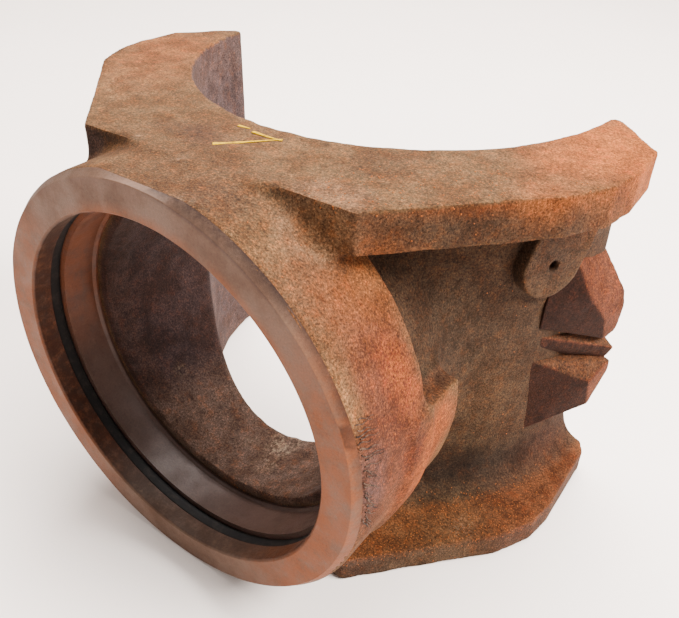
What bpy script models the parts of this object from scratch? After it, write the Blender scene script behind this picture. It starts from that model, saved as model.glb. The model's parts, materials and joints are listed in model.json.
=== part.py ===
"""Half-body of a clamp-on branch coupling for pipe, cast and machined.

The body stands on its lower flange.  The run pipe's axis is upright, the half-shell lies in front of
it, the parting plane faces +Y, and the branch socket opens towards -Y at mid height.
The shapes below are written round the run axis, and one empty carries them to their place, so that
the origin is the middle of the footprint.  All lengths are in metres.
"""
from math import cos, pi, radians, sin

import bmesh
import bpy
from mathutils import Matrix, Vector

# ---------------------------------------------------------------- driving dimensions
RUN_BORE_R = 0.110        # half-shell bore, for a run pipe of 219.1 mm outside diameter
HEIGHT = 0.199            # from the underside of the lower flange to the top of the upper one
MID_Z = HEIGHT / 2        # height of the branch axis
FACE_Y = -0.1855          # machined face of the branch collar
PARTING_Y = -0.0055       # parting faces, short of the run axis so that two halves can clamp
RUN_AXIS_Y = -(FACE_Y + PARTING_Y) / 2   # puts the origin under the middle of the body
SHELL_R = 0.122           # outside of the half-shell wall
UPPER_RIM = 0.018         # thickness of the upper flange
LOWER_RIM = 0.0145        # thickness of the lower flange
FLARE_R = 0.013           # run-out of the wall where it meets the lower flange
FLARE_RISE = 0.022        # height of that run-out
GAP = 0.0003              # clearance between neighbouring solids

COLLAR_R = 0.102          # outside of the branch collar
COLLAR_FACE_R = 0.0996    # outer edge of the collar's machined face
COLLAR_BEVEL = 0.002      # depth of the ground bevel behind that edge
COLLAR_BACK_Y = -0.137    # back rim of the collar
COLLAR_INSET = 0.0006     # the collar stops short of the two flange planes
MOUTH_R = 0.0855          # inner edge of the machined face
MOUTH_BEVEL = 0.0010      # lead-in bevel of the socket
SOCKET_R = 0.0846         # socket wall, for a branch pipe of 168.3 mm outside diameter
GROOVE_Y = (-0.1760, -0.1693)   # seal groove, front and back
GROOVE_R = 0.0902
SEAT_Y = -0.1505          # inner end of the seat ring
SEAT_R = 0.0832           # bore of the seat ring
SEAT_OUTER_R = 0.0880
SEAT_LIP = 0.0012         # thin lip at the seat ring's inner end
BORE_R = 0.0765           # rough cored bore behind the seat
SADDLE_R = 0.0700         # the same bore where it breaks into the half-shell
NECK_R = 0.0890           # outside of the neck between collar and wall

CHEEK_LOW_Z = 0.044       # side cheeks: the collar's skin carried on towards the wall
CHEEK_HIGH_Z = 0.113
CHEEK_BACK_Y = -0.110
CHEEK_ROOT_X = 0.070

BOSS_ANGLE = radians(-26.7)  # the round boss stands on the wall in this direction from +X
BOSS_Z = 0.148
BOSS_R = 0.0165
BOSS_FACE = 0.1285        # distance from the run axis to the boss's face
BOSS_HOLE_R = 0.0033
BOSS_HOLE_DEPTH = 0.005

SEGMENTS = 72             # facets round a full turn of the large rounds

# Flange outlines from the parting plane to the front, one side; the two front corners differ.
UPPER_SIDE = ((0.1135, PARTING_Y), (0.1385, -0.0310), (0.1395, -0.0570), (0.1365, -0.0740),
              (0.1265, -0.0930))
LOWER_SIDE = ((0.1330, PARTING_Y), (0.1380, -0.0120), (0.1390, -0.0570), (0.1365, -0.0740),
              (0.1265, -0.0930))
FRONT_RIGHT = (0.0720, -0.1520)
FRONT_LEFT = (-0.0620, -0.1565)

# Corners of the two latch noses beside the parting plane, on the +X side.
ROOT_X = 0.108
UPPER_NOSE = (
    (0.1215, PARTING_Y, 0.1360), (0.1360, PARTING_Y, 0.1170), (0.1370, PARTING_Y, 0.1080),
    (0.1360, PARTING_Y, 0.0940), (0.1315, PARTING_Y, 0.0865),
    (0.1190, -0.0310, 0.1370), (0.1245, -0.0240, 0.1180), (0.1320, -0.0140, 0.1030),
    (0.1320, -0.0130, 0.0900), (0.1130, -0.0500, 0.1225), (0.1130, -0.0500, 0.1100),
    (0.1190, -0.0350, 0.1010), (ROOT_X, PARTING_Y, 0.1360), (ROOT_X, PARTING_Y, 0.0865),
    (ROOT_X, -0.0480, 0.1225), (ROOT_X, -0.0480, 0.1040),
)
LOWER_NOSE = (
    (0.1320, PARTING_Y, 0.0835), (0.1370, PARTING_Y, 0.0825), (0.1380, PARTING_Y, 0.0720),
    (0.1320, PARTING_Y, 0.0440), (0.1370, -0.0150, 0.0830), (0.1340, -0.0200, 0.0690),
    (0.1345, -0.0200, 0.0560), (0.1130, -0.0490, 0.0900), (0.1120, -0.0490, 0.0500),
    (ROOT_X, PARTING_Y, 0.0835), (ROOT_X, PARTING_Y, 0.0380), (ROOT_X, -0.0470, 0.0900),
    (ROOT_X, -0.0470, 0.0480),
)


# ---------------------------------------------------------------- helpers
def clear_scene():
    for item in list(bpy.data.objects):
        bpy.data.objects.remove(item, do_unlink=True)


def run_axis():
    """The empty that carries every solid from the run axis to its place."""
    carrier = bpy.data.objects.get("run_axis")
    if carrier is None:
        carrier = bpy.data.objects.new("run_axis", None)
        carrier.location = (0, RUN_AXIS_Y, 0)
        bpy.context.collection.objects.link(carrier)
    return carrier


def material(name, colour, roughness, metallic):
    """A plain Principled material in the piece's own colour."""
    mat = bpy.data.materials.new(name)
    mat.use_nodes = True
    shader = mat.node_tree.nodes["Principled BSDF"]
    shader.inputs["Base Color"].default_value = (*colour, 1)
    shader.inputs["Roughness"].default_value = roughness
    shader.inputs["Metallic"].default_value = metallic
    return mat


def finish_mesh(name, bm, smooth=False):
    """Turn a bmesh into an object with outward faces, carried by the run axis."""
    bmesh.ops.remove_doubles(bm, verts=bm.verts, dist=1e-6)
    bmesh.ops.recalc_face_normals(bm, faces=bm.faces)
    mesh = bpy.data.meshes.new(name)
    bm.to_mesh(mesh)
    bm.free()
    if smooth:
        mesh.shade_smooth()
        mesh.set_sharp_from_angle(angle=radians(35))
    obj = bpy.data.objects.new(name, mesh)
    obj.parent = run_axis()
    bpy.context.collection.objects.link(obj)
    return obj


def prism(name, outline, low, high):
    """An outline in X and Y, extruded from one height to another."""
    bm = bmesh.new()
    base = bm.faces.new([bm.verts.new((x, y, low)) for x, y in outline])
    grown = bmesh.ops.extrude_face_region(bm, geom=[base])["geom"]
    risen = [item for item in grown if isinstance(item, bmesh.types.BMVert)]
    bmesh.ops.translate(bm, vec=(0, 0, high - low), verts=risen)
    return finish_mesh(name, bm)


def block(name, low, high):
    x0, y0, z0 = low
    x1, y1, z1 = high
    return prism(name, ((x0, y0), (x1, y0), (x1, y1), (x0, y1)), z0, z1)


def turned(name, profile, axis, count=SEGMENTS):
    """A closed profile of (radius, station) pairs turned round the run axis or the branch axis."""
    bm = bmesh.new()
    rings = []
    for i in range(count):
        c, s = cos(2 * pi * i / count), sin(2 * pi * i / count)
        if axis == "run":
            rings.append([bm.verts.new((r * c, r * s, t)) for r, t in profile])
        else:
            rings.append([bm.verts.new((r * c, t, MID_Z + r * s)) for r, t in profile])
    for i, ring in enumerate(rings):
        after = rings[(i + 1) % count]
        for k in range(len(profile)):
            m = (k + 1) % len(profile)
            bm.faces.new((ring[k], ring[m], after[m], after[k]))
    return finish_mesh(name, bm, smooth=True)


def rod(name, start_r, end_r, start, end, place, count=SEGMENTS):
    """A round or tapered bar; place is the matrix that sets its own Z axis."""
    bm = bmesh.new()
    bmesh.ops.create_cone(bm, cap_ends=True, segments=count, radius1=start_r, radius2=end_r,
                          depth=end - start)
    bm.transform(place @ Matrix.Translation((0, 0, (start + end) / 2)))
    return finish_mesh(name, bm)


def along_run():
    return Matrix.Identity(4)


def along_branch():
    """Stations on the bar become Y, with the bar at the height of the branch axis."""
    return Matrix.Translation((0, 0, MID_Z)) @ Matrix.Rotation(-pi / 2, 4, "X")


def along_boss(side):
    axis = Vector((side * cos(BOSS_ANGLE), sin(BOSS_ANGLE), 0))
    turn = Vector((0, 0, 1)).rotation_difference(axis).to_matrix().to_4x4()
    return Matrix.Translation((0, 0, BOSS_Z)) @ turn


def cut(obj, cutter, operation="DIFFERENCE"):
    """Add a Boolean with a hidden cutter."""
    cutter.hide_render = True
    cutter.display_type = "WIRE"
    step = obj.modifiers.new(operation.title(), "BOOLEAN")
    step.operation = operation
    step.solver = "EXACT"
    step.object = cutter
    return obj


def paint(obj, mat):
    obj.data.materials.clear()
    obj.data.materials.append(mat)
    return obj


def wall_room(name):
    """The half-shell wall's outside, with clearance."""
    return rod(name, SHELL_R + GAP, SHELL_R + GAP, -0.01, HEIGHT + 0.01, along_run(), 2 * SEGMENTS)


def neck_room(name):
    return rod(name, NECK_R + GAP, NECK_R + GAP, FACE_Y, 0, along_branch())


# ---------------------------------------------------------------- flanges
def flange_outline(side):
    """The C-shaped outline: faceted outside, the bore's arc inside."""
    left = [(-x, y) for x, y in reversed(side)]
    outer = [*side, FRONT_RIGHT, FRONT_LEFT, *left]
    last = pi / 2 + (PARTING_Y / RUN_BORE_R)   # half angle of the bore's arc
    turns = [-last + 2 * last * i / SEGMENTS for i in range(SEGMENTS + 1)]
    return outer + [(RUN_BORE_R * sin(t), -RUN_BORE_R * cos(t)) for t in turns]


def flange(name, side, low, high, mat):
    """A flange plate, cleared where the collar passes through it."""
    plate = prism(name, flange_outline(side), low, high)
    room = rod(name + "_collar_room", COLLAR_R + GAP, COLLAR_R + GAP, FACE_Y, COLLAR_BACK_Y + GAP,
               along_branch(), 2 * SEGMENTS)
    return paint(cut(plate, room), mat)


# ---------------------------------------------------------------- half-shell wall
def shell_half(name, side, mat):
    """One side of the wall between the flanges, from the neck to the parting plane."""
    low, high = LOWER_RIM + GAP, HEIGHT - UPPER_RIM - GAP
    steps = 5
    profile = [(RUN_BORE_R, high), (RUN_BORE_R, low)]
    for i in range(steps + 1):
        turn = (pi / 2) * i / steps
        profile.append((SHELL_R + FLARE_R * (1 - sin(turn)), low + FLARE_RISE * (1 - cos(turn))))
    for i in range(steps + 1):
        turn = (pi / 2) * (1 - i / steps)
        profile.append((SHELL_R + FLARE_R * (1 - sin(turn)) / 2, high - FLARE_RISE * (1 - cos(turn)) / 2))
    wall = turned(name, profile, "run", 2 * SEGMENTS)
    reach = 0.16
    x0, x1 = (0.0, reach) if side > 0 else (-reach, 0.0)
    cut(wall, block(name + "_keep", (x0, -reach, 0), (x1, PARTING_Y, HEIGHT)), "INTERSECT")
    cut(wall, neck_room(name + "_neck_room"))
    return paint(wall, mat)


# ---------------------------------------------------------------- neck and collar
def neck(mat):
    """The short neck between the wall and the collar, flat above and below."""
    back = -0.04
    body = rod("branch_neck", NECK_R, NECK_R, COLLAR_BACK_Y + GAP, back, along_branch())
    slab = block("neck_slab", (-0.2, -0.2, LOWER_RIM + GAP), (0.2, 0, HEIGHT - UPPER_RIM - GAP))
    cut(body, slab, "INTERSECT")
    cut(body, rod("neck_bore", BORE_R, SADDLE_R, COLLAR_BACK_Y - GAP, -0.07, along_branch()))
    cut(body, rod("neck_run_bore", RUN_BORE_R, RUN_BORE_R, -0.01, HEIGHT + 0.01, along_run(), 2 * SEGMENTS))
    return paint(body, mat)


def collar(mat):
    """The collar with its stepped socket, level with the flanges above and below."""
    groove_front, groove_back = GROOVE_Y
    profile = (
        (COLLAR_FACE_R, FACE_Y), (COLLAR_R, FACE_Y + COLLAR_BEVEL), (COLLAR_R, COLLAR_BACK_Y),
        (BORE_R, COLLAR_BACK_Y), (BORE_R, SEAT_Y + GAP), (SEAT_OUTER_R, SEAT_Y + GAP),
        (SEAT_OUTER_R, groove_back), (GROOVE_R, groove_back), (GROOVE_R, groove_front),
        (SOCKET_R, groove_front), (SOCKET_R, FACE_Y + MOUTH_BEVEL), (MOUTH_R, FACE_Y),
    )
    body = turned("branch_collar", profile, "branch", 96)
    room = block("collar_room", (-0.2, -0.2, COLLAR_INSET), (0.2, -0.1, HEIGHT - COLLAR_INSET))
    return paint(cut(body, room, "INTERSECT"), mat)


def seal_ring(mat):
    """The rubber ring that fills the groove, just proud of the socket wall."""
    front, back = GROOVE_Y
    middle, lip = (front + back) / 2, 0.0015
    inner, outer = SOCKET_R - 0.0006, GROOVE_R - GAP
    profile = ((outer, front + GAP), (outer, back - GAP), (inner + lip, back - GAP),
               (inner, middle + lip), (inner, middle - lip), (inner + lip, front + GAP))
    return paint(turned("seal_ring", profile, "branch"), mat)


def seat_ring(mat):
    """The machined seat ring behind the seal, with its thin inner lip."""
    front = GROOVE_Y[1] + GAP
    outer, lip_r = SEAT_OUTER_R - GAP, SEAT_R - SEAT_LIP
    profile = ((outer, front), (outer, SEAT_Y), (lip_r, SEAT_Y), (lip_r, SEAT_Y - SEAT_LIP),
               (SEAT_R, SEAT_Y - 2 * SEAT_LIP), (SEAT_R, front))
    return paint(turned("seat_ring", profile, "branch"), mat)


# ---------------------------------------------------------------- cheeks, bosses and noses
def cheek(name, side, mat):
    """A stub that carries the collar's skin back along the side of the neck."""
    body = rod(name, COLLAR_R, COLLAR_R, COLLAR_BACK_Y + GAP, CHEEK_BACK_Y, along_branch(), 96)
    x0, x1 = (CHEEK_ROOT_X, 0.12) if side > 0 else (-0.12, -CHEEK_ROOT_X)
    keep = block(name + "_keep", (x0, -0.2, CHEEK_LOW_Z), (x1, 0, CHEEK_HIGH_Z))
    cut(body, keep, "INTERSECT")
    cut(body, neck_room(name + "_neck_room"))
    return paint(body, mat)


def boss(name, side, mat):
    """The round boss on the wall, with its small blind hole."""
    place = along_boss(side)
    body = rod(name, BOSS_R, BOSS_R, SHELL_R - 0.008, BOSS_FACE, place, 48)
    cut(body, wall_room(name + "_wall_room"))
    bottom = BOSS_FACE - BOSS_HOLE_DEPTH
    cut(body, rod(name + "_hole", BOSS_HOLE_R, BOSS_HOLE_R, bottom, BOSS_FACE + 0.01, place, 24))
    return paint(body, mat)


def nose(name, side, corners, mat):
    """A faceted latch nose on the wall beside the parting plane."""
    bm = bmesh.new()
    for x, y, z in corners:
        bm.verts.new((side * x, y, z))
    hull = bmesh.ops.convex_hull(bm, input=bm.verts)
    spare = [v for v in hull["geom_interior"] if isinstance(v, bmesh.types.BMVert)]
    bmesh.ops.delete(bm, geom=spare, context="VERTS")
    body = finish_mesh(name, bm)
    cut(body, wall_room(name + "_wall_room"))
    return paint(body, mat)


# ---------------------------------------------------------------- the assembly
def main():
    clear_scene()
    cast = material("cast_skin", (0.23, 0.16, 0.10), 0.8, 0.3)
    rusty = material("rusty_skin", (0.34, 0.17, 0.08), 0.85, 0.2)
    machined = material("machined_face", (0.36, 0.24, 0.15), 0.6, 0.5)
    rubber = material("black_rubber", (0.03, 0.03, 0.03), 0.7, 0.0)
    seat = material("machined_seat", (0.38, 0.19, 0.09), 0.5, 0.6)

    flange("upper_flange", UPPER_SIDE, HEIGHT - UPPER_RIM, HEIGHT, cast)
    flange("lower_flange", LOWER_SIDE, 0.0, LOWER_RIM, rusty)
    neck(cast)
    collar(machined)
    seal_ring(rubber)
    seat_ring(seat)
    for label, side in (("right", 1), ("left", -1)):
        shell_half(label + "_shell_wall", side, cast)
        cheek(label + "_cheek", side, rusty)
        boss(label + "_boss", side, cast)
        nose(label + "_upper_nose", side, UPPER_NOSE, rusty)
        nose(label + "_lower_nose", side, LOWER_NOSE, rusty)


main()
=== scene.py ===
"""Rusted cast half-body of a clamp-on branch coupling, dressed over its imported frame.

The casting is one smooth field: flanges, wall, neck, collar and cheeks are joined with cast fillets,
bored, made wavy and then netted into one mesh.  The noses and the bosses are netted on a finer grid.
The turned rings, the paint strokes, the saw marks and the rust scabs are Geometry Nodes.  All lengths
are in metres; "in the run pipe's frame" means that Y is counted from the run pipe's axis.
"""
import json
import math

import bmesh
import bpy
import numpy as np
from bpy.props import FloatProperty, FloatVectorProperty, IntProperty, PointerProperty
from mathutils import Matrix, Vector

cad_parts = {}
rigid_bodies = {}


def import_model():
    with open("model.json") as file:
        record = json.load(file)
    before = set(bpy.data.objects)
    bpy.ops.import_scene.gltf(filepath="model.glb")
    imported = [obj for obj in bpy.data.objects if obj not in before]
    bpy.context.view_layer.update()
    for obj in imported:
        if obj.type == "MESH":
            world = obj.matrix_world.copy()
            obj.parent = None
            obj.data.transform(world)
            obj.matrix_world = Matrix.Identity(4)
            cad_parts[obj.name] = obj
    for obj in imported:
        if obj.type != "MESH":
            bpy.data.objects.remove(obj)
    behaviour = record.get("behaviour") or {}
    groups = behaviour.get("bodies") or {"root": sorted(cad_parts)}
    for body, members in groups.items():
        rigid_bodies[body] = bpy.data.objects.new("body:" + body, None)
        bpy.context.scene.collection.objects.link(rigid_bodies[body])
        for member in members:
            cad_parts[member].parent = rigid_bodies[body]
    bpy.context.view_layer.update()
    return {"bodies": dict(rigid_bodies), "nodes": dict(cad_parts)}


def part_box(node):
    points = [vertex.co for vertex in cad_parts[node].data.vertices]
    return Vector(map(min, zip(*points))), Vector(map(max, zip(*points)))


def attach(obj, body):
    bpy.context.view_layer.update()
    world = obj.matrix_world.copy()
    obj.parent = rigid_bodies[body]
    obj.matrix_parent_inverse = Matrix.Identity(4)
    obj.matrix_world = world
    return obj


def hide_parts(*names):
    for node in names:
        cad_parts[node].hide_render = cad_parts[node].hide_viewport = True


bl_info = {
    "name": "Branch coupling half-body",
    "version": (1, 0, 0),
    "blender": (4, 5, 0),
    "location": "3D View > Sidebar > Coupling",
    "description": "Builds the rusted casting, its turned rings and its surface marks",
    "category": "Add Mesh",
}

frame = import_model()
ROOT = next(iter(frame["bodies"]))


# ---------------------------------------------------------------- places taken from the frame
def low(node):
    """A node's lowest corner."""
    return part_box(node)[0]


def high(node):
    """A node's highest corner."""
    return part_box(node)[1]


TOP_Z = high("upper_flange").z
UPPER_Z = low("upper_flange").z
LOWER_Z = high("lower_flange").z
MID_Z = TOP_Z / 2
FACE_Y = low("branch_collar").y
COLLAR_BACK_Y = high("branch_collar").y
PARTING_Y = high("right_shell_wall").y
COLLAR_R = high("branch_collar").x
NECK_R = high("branch_neck").x
SEAT_BACK_Y = high("seat_ring").y
GROOVE_FRONT_Y = low("seal_ring").y
GROOVE_BACK_Y = high("seal_ring").y
RUN_Y = 0.0955            # the run pipe's axis
RUN_BORE_R = 0.110
SHELL_R = 0.122           # outside of the half-shell
CORE_R = 0.0765           # the cored bore behind the seat
CORE_TAPER = 0.0065       # how much the cored bore narrows towards the run bore
RING_ROOM_R = 0.0895      # the casting is cleared out to here for the turned rings
GROOVE_R = 0.0904         # bottom of the seal's groove
RING_BACK_R = 0.0960      # hidden back of the turned face
FACE_BAND = 0.0030        # depth of the bevelled band round the turned face
CREASE = 34               # degrees; sharper turns of the casting are shaded as edges
RING_CREASE = 30          # the same for the turned rings
BOSS_ANGLE = math.radians(-26.7)
BOSS_Z = (low("right_boss").z + high("right_boss").z) / 2
BOSS_R = (high("right_boss").z - low("right_boss").z) / 2
BOSS_FACE = 0.1285        # distance from the run axis to the boss's face
BOSS_HOLE_R = 0.0026
# corners of the flanges, in the run pipe's frame
FRONT_RIGHT = (0.0735, -0.1520)
FRONT_LEFT = (-0.0620, -0.1565)
UPPER_SIDE = ((0.1135, -0.0055), (0.1385, -0.0310), (0.1395, -0.0570), (0.1365, -0.0740),
              (0.1265, -0.0930))
LOWER_SIDE = ((0.1330, -0.0055), (0.1380, -0.0120), (0.1390, -0.0570), (0.1365, -0.0740),
              (0.1265, -0.0930))


# ---------------------------------------------------------------- settings
class CastingSettings(bpy.types.PropertyGroup):
    """Sizes of the casting's skin."""
    cell: FloatProperty(name="Cell", description="Spacing of the net that wraps the casting",
                        default=0.0019, unit="LENGTH")
    fine_cell: FloatProperty(name="Fine cell", description="Spacing of the net round noses and bosses",
                             default=0.0009, unit="LENGTH")
    fillet: FloatProperty(name="Fillet", description="Cast fillet between the large shapes",
                          default=0.012, unit="LENGTH")
    edge: FloatProperty(name="Edge", description="Rounding of the casting's outer edges",
                        default=0.0010, unit="LENGTH")
    waviness: FloatProperty(name="Waviness", description="Height of the slow waves in the skin",
                            default=0.00018, unit="LENGTH")


class SkinSettings(bpy.types.PropertyGroup):
    """Colours of the weathered skin."""
    olive: FloatVectorProperty(name="Olive", description="Brown skin with little rust", size=3,
                               subtype="COLOR", default=(0.062, 0.037, 0.017))
    orange: FloatVectorProperty(name="Orange", description="Fresh rust", size=3, subtype="COLOR",
                                default=(0.240, 0.066, 0.012))
    pink: FloatVectorProperty(name="Pink", description="Thin red-brown rust", size=3,
                              subtype="COLOR", default=(0.068, 0.0215, 0.0115))
    dark: FloatVectorProperty(name="Dark", description="Shaded skin in the recesses", size=3,
                              subtype="COLOR", default=(0.0172, 0.0112, 0.0082))
    steel: FloatVectorProperty(name="Steel", description="Worn bright spots", size=3,
                               subtype="COLOR", default=(0.28, 0.20, 0.13))


class RingSettings(bpy.types.PropertyGroup):
    """Sizes of the turned rings."""
    facets: IntProperty(name="Facets", description="Facets round each ring", default=256)
    face_outer: FloatProperty(name="Face outer", description="Outer edge of the turned face",
                              default=0.0993, unit="LENGTH")
    mouth: FloatProperty(name="Mouth", description="Inner edge of the turned face",
                         default=0.0856, unit="LENGTH")
    socket: FloatProperty(name="Socket", description="Socket wall radius", default=0.0846,
                          unit="LENGTH")
    seat: FloatProperty(name="Seat", description="Seat ring radius", default=0.0832,
                        unit="LENGTH")


# ---------------------------------------------------------------- fields
def blend_min(a, b, k):
    """Union of two fields with a fillet of about k."""
    h = np.clip(0.5 + 0.5 * (b - a) / k, 0, 1)
    return b + (a - b) * h - k * h * (1 - h)


def blend_max(a, b, k):
    """Intersection of two fields with an edge rounding of about k."""
    return -blend_min(-a, -b, k)


def polygon(x, y, outline):
    """Signed distance to an outline in X and Y."""
    best = np.full(np.broadcast(x, y).shape, 1e9)
    inside = np.zeros(best.shape, bool)
    for i, (x0, y0) in enumerate(outline):
        x1, y1 = outline[i - 1]
        ex, ey = x1 - x0, y1 - y0
        t = np.clip(((x - x0) * ex + (y - y0) * ey) / (ex * ex + ey * ey), 0, 1)
        best = np.minimum(best, np.hypot(x - x0 - t * ex, y - y0 - t * ey))
        crosses = (y0 > y) != (y1 > y)
        with np.errstate(divide="ignore", invalid="ignore"):
            inside ^= crosses & (x < x0 + (y - y0) * ex / (ey if ey else 1e-12))
    return np.where(inside, -best, best)


def slab(t, start, end):
    """Signed distance to the space between two parallel planes."""
    return np.maximum(start - t, t - end)


def noise_field(shape, origin, cell, size, seed):
    """Smooth value noise between -1 and 1 on the grid, with the given wave size."""
    rng = np.random.default_rng(seed)
    axes = []
    for n, o in zip(shape, origin):
        t = (o + cell * np.arange(n)) / size
        t = t - math.floor(t[0])
        i = np.floor(t).astype(int)
        f = t - i
        axes.append((i, f * f * (3 - 2 * f)))
    lattice = rng.uniform(-1, 1, [a[0].max() + 2 for a in axes])
    for axis, (i, f) in enumerate(axes):
        here = np.take(lattice, i, axis=axis)
        after = np.take(lattice, i + 1, axis=axis)
        f = f.reshape([-1 if k == axis else 1 for k in range(3)])
        lattice = here * (1 - f) + after * f
    return lattice


def hull_field(f, corners, edge):
    """Signed distance to the convex hull of some corners, its edges rounded."""
    bm = bmesh.new()
    for corner in corners:
        bm.verts.new(corner)
    bmesh.ops.convex_hull(bm, input=bm.verts)
    centre = sum((v.co for v in bm.verts), Vector()) / len(bm.verts)
    shape = None
    done = set()
    for face in bm.faces:
        face.normal_update()
        n = face.normal
        point = face.verts[0].co
        if (point - centre).dot(n) < 0:
            n = -n
        key = tuple(round(c, 2) for c in n)
        if face.calc_area() < 1e-8 or key in done:
            continue
        done.add(key)
        side = n.x * f.x + n.y * f.y + n.z * f.z - point.dot(n)
        shape = side if shape is None else blend_max(shape, side, edge)
    bm.free()
    return shape


class Field:
    """A signed distance field on a regular grid over the casting."""

    def __init__(self, lo, hi, cell):
        self.cell = cell
        self.origin = [v - 3 * cell for v in lo]
        self.shape = [int(math.ceil((h - o) / cell)) + 4 for o, h in zip(self.origin, hi)]
        axes = [o + cell * np.arange(n) for o, n in zip(self.origin, self.shape)]
        self.x, self.y, self.z = np.meshgrid(*axes, indexing="ij", sparse=True)
        self.value = np.full(self.shape, 1e3)

    def add(self, shape, k):
        """Join a shape on, with a fillet."""
        self.value = blend_min(self.value, shape, k)

    def keep(self, shape, k):
        """Cut away all that lies outside a shape."""
        self.value = blend_max(self.value, shape, k)


def surface_net(field, origin, cell):
    """Vertices and quads of the field's zero surface."""
    inside = field < 0
    nx, ny, nz = field.shape
    corner = [(i, j, k) for i in (0, 1) for j in (0, 1) for k in (0, 1)]

    def at(array, c):
        return array[c[0]:nx - 1 + c[0], c[1]:ny - 1 + c[1], c[2]:nz - 1 + c[2]]

    count = sum(at(inside, c).astype(np.int8) for c in corner)
    active = (count > 0) & (count < 8)
    cells = np.argwhere(active)
    total = np.zeros((len(cells), 3))
    hits = np.zeros(len(cells))
    square = np.zeros((len(cells), 3, 3))
    pull = np.zeros((len(cells), 3))
    values = {c: at(field, c)[active] for c in corner}
    slopes = np.gradient(field)
    slope = {c: np.stack([at(g, c)[active] for g in slopes], 1) for c in corner}
    for a in corner:
        for axis in range(3):
            if a[axis]:
                continue
            b = tuple(1 if i == axis else v for i, v in enumerate(a))
            fa, fb = values[a], values[b]
            cross = (fa < 0) != (fb < 0)
            t = np.where(cross, fa / np.where(cross, fa - fb, 1), 0)
            point = np.array(a, float) + t[:, None] * (np.array(b) - np.array(a))
            total += np.where(cross[:, None], point, 0)
            hits += cross
            normal = slope[a] + t[:, None] * (slope[b] - slope[a])
            normal /= np.maximum(np.linalg.norm(normal, axis=1, keepdims=True), 1e-12)
            normal *= cross[:, None]
            square += normal[:, :, None] * normal[:, None, :]
            pull += normal * (normal * point).sum(1, keepdims=True)
    # each vertex sits where its cell's tangent planes meet, so that edges stay crisp
    mean = total / hits[:, None]
    stiff = 0.08
    square += stiff * np.eye(3)
    place = np.linalg.solve(square, (pull + stiff * mean)[:, :, None])[:, :, 0]
    place = np.clip(place, -0.15, 1.15)
    verts = (cells + place) * cell + np.array(origin)
    index = np.full(active.shape, -1)
    index[active] = np.arange(len(cells))
    quads = []
    for axis in range(3):
        u, v = [(1, 2), (2, 0), (0, 1)][axis]
        start = [slice(1, -1)] * 3
        start[axis] = slice(0, -1)
        end = list(start)
        end[axis] = slice(1, None)
        here, there = inside[tuple(start)], inside[tuple(end)]
        base = np.argwhere(here != there)
        leaving = here[here != there]
        cell_of = base.copy()
        cell_of[:, u] += 1
        cell_of[:, v] += 1
        ring = []
        for du, dv in ((1, 1), (0, 1), (0, 0), (1, 0)):
            c = cell_of.copy()
            c[:, u] -= du
            c[:, v] -= dv
            ring.append(index[c[:, 0], c[:, 1], c[:, 2]])
        quad = np.stack(ring, 1)
        quad[~leaving] = quad[~leaving][:, ::-1]
        quads.append(quad)
    return verts, np.concatenate(quads)


# ---------------------------------------------------------------- mesh helpers
def new_object(name, data):
    """An object in the scene that holds the given data."""
    obj = bpy.data.objects.new(name, data)
    bpy.context.scene.collection.objects.link(obj)
    return obj


def mesh_object(name, verts, faces):
    """A smooth-shaded object made of faces with equal numbers of corners."""
    mesh = bpy.data.meshes.new(name)
    verts = np.asarray(verts, np.float32)
    faces = np.asarray(faces, np.int32)
    mesh.vertices.add(len(verts))
    mesh.vertices.foreach_set("co", verts.ravel())
    width = faces.shape[1]
    mesh.loops.add(faces.size)
    mesh.loops.foreach_set("vertex_index", faces.ravel())
    mesh.polygons.add(len(faces))
    mesh.polygons.foreach_set("loop_start", np.arange(0, faces.size, width, dtype=np.int32))
    mesh.update(calc_edges=True)
    mesh.validate()
    mesh.shade_smooth()
    return new_object(name, mesh)


def per_vertex(obj, name):
    """One vector per vertex: 'co' for places, 'normal' for directions."""
    values = np.empty(len(obj.data.vertices) * 3, np.float32)
    obj.data.vertices.foreach_get(name, values)
    return values.reshape(-1, 3)


def store(obj, name, values):
    """Keep one number per vertex, or one colour per vertex, on a mesh."""
    values = np.asarray(values, np.float32)
    if values.ndim == 1:
        obj.data.attributes.new(name, "FLOAT", "POINT").data.foreach_set("value", values)
    else:
        flat = np.concatenate([values, np.ones((len(values), 1), np.float32)], 1)
        layer = obj.data.attributes.new(name, "FLOAT_COLOR", "POINT")
        layer.data.foreach_set("color", flat.ravel())


def smooth_step(lo, hi, t):
    """0 at lo, 1 at hi, with a soft start and end."""
    t = np.clip((t - lo) / (hi - lo), 0, 1)
    return t * t * (3 - 2 * t)


def settle(obj, slot_name, *nodes):
    """Ride on the one body and stand for the given nodes; slot_name is not used."""
    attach(obj, ROOT)
    if nodes:
        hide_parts(*nodes)


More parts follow.
